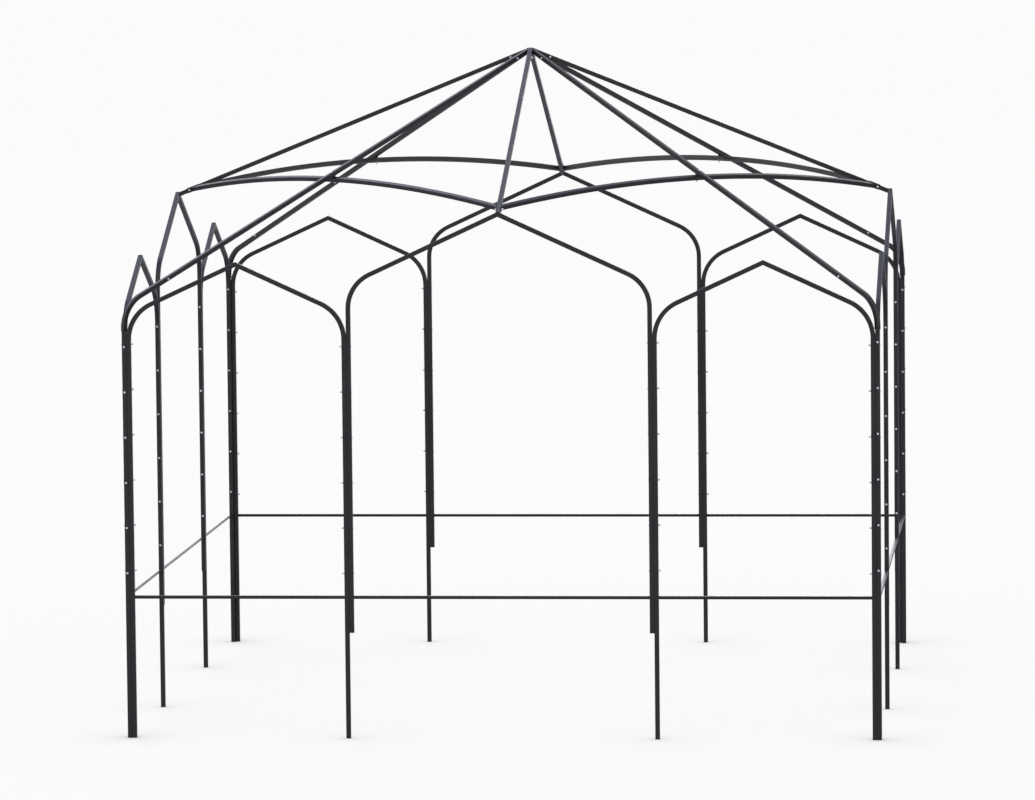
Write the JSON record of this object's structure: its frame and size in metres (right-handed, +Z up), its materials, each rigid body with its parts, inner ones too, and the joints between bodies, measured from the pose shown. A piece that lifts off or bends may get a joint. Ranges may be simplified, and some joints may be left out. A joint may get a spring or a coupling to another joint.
{
  "type": "garden pavilion frame",
  "caption": "Square open garden pavilion of dark welded steel tube, with arched bays, low crossbars and a pyramid of rafters meeting at a bolted apex hub.",
  "frame": {"origin": "centre of the square plan, on the floor", "axes": "+Z up, the front side faces -Y, +X to the right seen from the front"},
  "size_m": [4.1684, 4.1684, 3.7209],
  "materials": {
    "arch_tube": "satin charcoal powder coat on square steel tube",
    "crossbar": "satin charcoal powder coat on small square steel tube",
    "post_tube": "satin charcoal powder coat on square steel tube",
    "roof_tube": "satin charcoal powder coat on square steel tube",
    "apex_hub": "satin charcoal powder coat over ground welds",
    "bolt_zinc": "bright zinc-plated hexagon bolts, washers and nuts"
  },
  "bodies": {
    "root": {"front_left_arch": "arch_tube", "front_right_arch": "arch_tube", "right_front_arch": "arch_tube", "right_back_arch": "arch_tube", "back_right_arch": "arch_tube", "back_left_arch": "arch_tube", "left_back_arch": "arch_tube", "left_front_arch": "arch_tube", "front_middle_arch": "arch_tube", "right_middle_arch": "arch_tube", "back_middle_arch": "arch_tube", "left_middle_arch": "arch_tube", "front_left_crossbar": "crossbar", "front_right_crossbar": "crossbar", "right_front_crossbar": "crossbar", "right_back_crossbar": "crossbar", "back_right_crossbar": "crossbar", "back_left_crossbar": "crossbar", "left_back_crossbar": "crossbar", "left_front_crossbar": "crossbar", "front_middle_crossbar": "crossbar", "right_middle_crossbar": "crossbar", "back_middle_crossbar": "crossbar", "left_middle_crossbar": "crossbar", "front_left_post": "post_tube", "front_right_post": "post_tube", "back_right_post": "post_tube", "back_left_post": "post_tube", "front_left_head": "post_tube", "front_right_head": "post_tube", "back_right_head": "post_tube", "back_left_head": "post_tube", "front_left_rafter": "roof_tube", "front_right_rafter": "roof_tube", "back_right_rafter": "roof_tube", "back_left_rafter": "roof_tube", "front_middle_rafter": "roof_tube", "right_middle_rafter": "roof_tube", "back_middle_rafter": "roof_tube", "left_middle_rafter": "roof_tube", "front_left_purlin": "roof_tube", "front_right_purlin": "roof_tube", "back_right_purlin": "roof_tube", "back_left_purlin": "roof_tube", "apex_hub": "apex_hub"}
  },
  "joints": []
}
